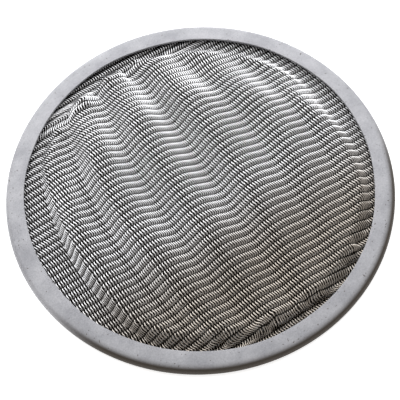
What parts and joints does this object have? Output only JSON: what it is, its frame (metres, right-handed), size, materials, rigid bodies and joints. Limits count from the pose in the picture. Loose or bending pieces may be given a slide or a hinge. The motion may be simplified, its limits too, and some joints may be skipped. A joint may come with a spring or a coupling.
{
  "type": "tank basket strainer",
  "caption": "Flat round strainer for a tank: a corrugated Dutch-weave wire cloth clamped in a folded sheet-steel rim.",
  "frame": {"origin": "middle of the rim's underside", "axes": "+Z through the cloth towards its waved side, +X along the thick warp wires and across the waves, +Y along the thin weft wires and the wave crests"},
  "size_m": [0.1, 0.1, 0.0088],
  "materials": {
    "rim": "satin sheet steel with fine mottling",
    "mesh": "woven stainless wire, bright where it catches light and dark between the wires"
  },
  "bodies": {
    "root": {"rim": "rim", "mesh": "mesh"}
  },
  "joints": []
}
